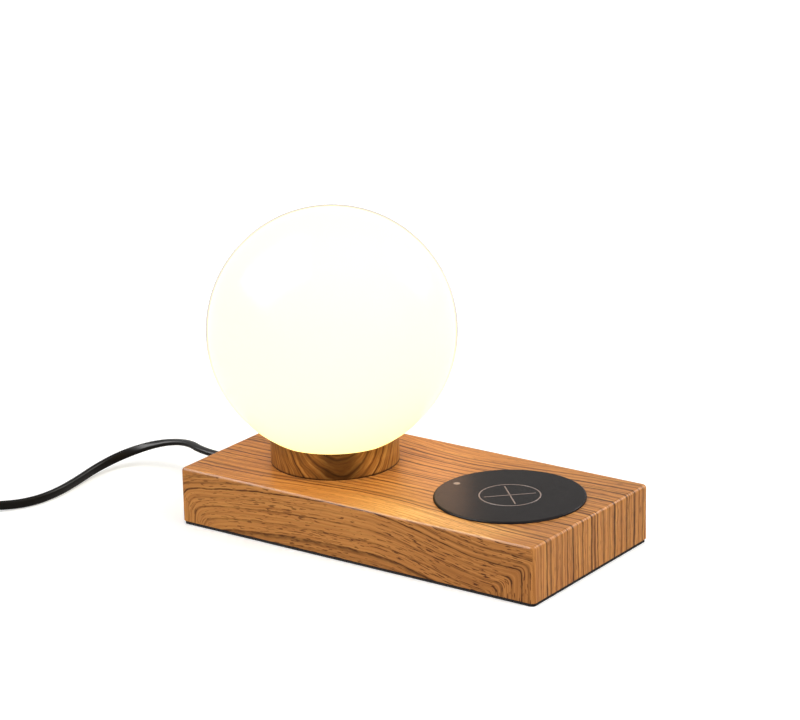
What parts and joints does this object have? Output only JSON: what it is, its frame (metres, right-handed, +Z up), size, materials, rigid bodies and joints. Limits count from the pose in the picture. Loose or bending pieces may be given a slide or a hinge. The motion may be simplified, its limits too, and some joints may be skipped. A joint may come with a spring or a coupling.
{
  "type": "table lamp",
  "caption": "Table lamp: an opal glass globe on a turned wooden collar, a wooden base with a round charging pad let into its top, and a cord with a switch and plug.",
  "frame": {"origin": "on the table, under the middle of the wooden base", "axes": "+X along the base from the globe to the charging pad, +Y to the back, +Z up"},
  "size_m": [0.5322, 0.2603, 0.1905],
  "materials": {
    "oiled_wood": "oiled teak veneer, satin, with a warm reddish brown grain",
    "black_foam_foot": "matte black foam rubber",
    "hardboard": "brown hardboard, smooth face out",
    "zinc_plated_steel": "bright zinc plated",
    "white_ceramic": "unglazed white steatite",
    "spring_brass": "bare rolled brass",
    "opal_glass": "satin opal glass, lit from inside",
    "white_bulb_cap": "moulded white",
    "nickel_wire": "bright nickel plated",
    "frosted_cover": "frosted, lit from inside",
    "white_led_board": "white solder mask on aluminium",
    "charcoal_pad": "soft-touch satin charcoal",
    "smoky_lens": "clear smoky",
    "black_nylon": "moulded black",
    "green_board": "green solder mask",
    "ferrite": "matte sintered dark grey",
    "copper_winding": "enamelled copper",
    "white_nylon": "moulded natural white",
    "black_cord": "satin black cable jacket",
    "brown_lead": "brown lead insulation",
    "white_lead": "white heat resistant lead insulation",
    "black_lead": "black lead insulation",
    "black_switch": "moulded black, lightly glossy",
    "black_plug": "moulded black, satin",
    "nickel_pins": "nickel plated"
  },
  "bodies": {
    "lamp_base": {"base_block": "oiled_wood", "bottom_plate": "hardboard", "foot_pad": "black_foam_foot", "bottom_screws": "zinc_plated_steel", "collar": "oiled_wood", "collar_screws": "zinc_plated_steel", "gallery": "zinc_plated_steel", "threaded_tube": "zinc_plated_steel", "tube_nuts": "zinc_plated_steel", "holder_bracket": "zinc_plated_steel", "holder_body": "white_ceramic", "holder_contacts": "spring_brass", "holder_screws": "zinc_plated_steel", "pad_cover": "charcoal_pad", "indicator_lens": "smoky_lens", "lock_ring": "black_nylon", "pad_cap": "black_nylon", "charger_board": "green_board", "charger_board_screws": "zinc_plated_steel", "charger_ferrite": "ferrite", "charger_coil": "copper_winding", "power_board": "green_board", "power_board_spacers": "white_nylon", "power_board_screws": "zinc_plated_steel", "terminal_block": "white_nylon", "terminal_screws": "spring_brass", "strain_relief": "black_cord", "mains_leads": "brown_lead", "supply_leads": "brown_lead", "lamp_leads": "white_lead", "pad_leads": "black_lead", "cord_inlet": "black_cord", "cord_clamp": "white_nylon", "clamp_screws": "zinc_plated_steel", "cord_to_switch": "black_cord", "switch_lower_shell": "black_switch", "switch_upper_shell": "black_switch", "switch_screws": "zinc_plated_steel", "cord_to_coil": "black_cord", "cord_coil": "black_cord", "cord_tie": "black_nylon", "cord_to_plug": "black_cord", "plug_body": "black_plug", "plug_pins": "nickel_pins"},
    "globe_shade": {"globe": "opal_glass", "glass_neck": "opal_glass"},
    "bulb": {"bulb_base": "white_bulb_cap", "bulb_pins": "nickel_wire", "bulb_cover": "frosted_cover", "bulb_board": "white_led_board"},
    "rocker": {"switch_rocker": "black_switch"}
  },
  "joints": [
    {"name": "globe_lift", "type": "slide", "parent": "lamp_base", "child": "globe_shade", "axis": [0, 0, 1], "range_m": [0, 0.1]},
    {"name": "bulb_pull", "type": "slide", "parent": "lamp_base", "child": "bulb", "axis": [0, 0, 1], "range_m": [0, 0.015]},
    {"name": "switch_press", "type": "hinge", "parent": "lamp_base", "child": "rocker", "pos_m": [-0.27903, -0.14753, 0.0092], "axis": [0.6699, -0.7424, 0], "range_deg": [0, 16]}
  ]
}
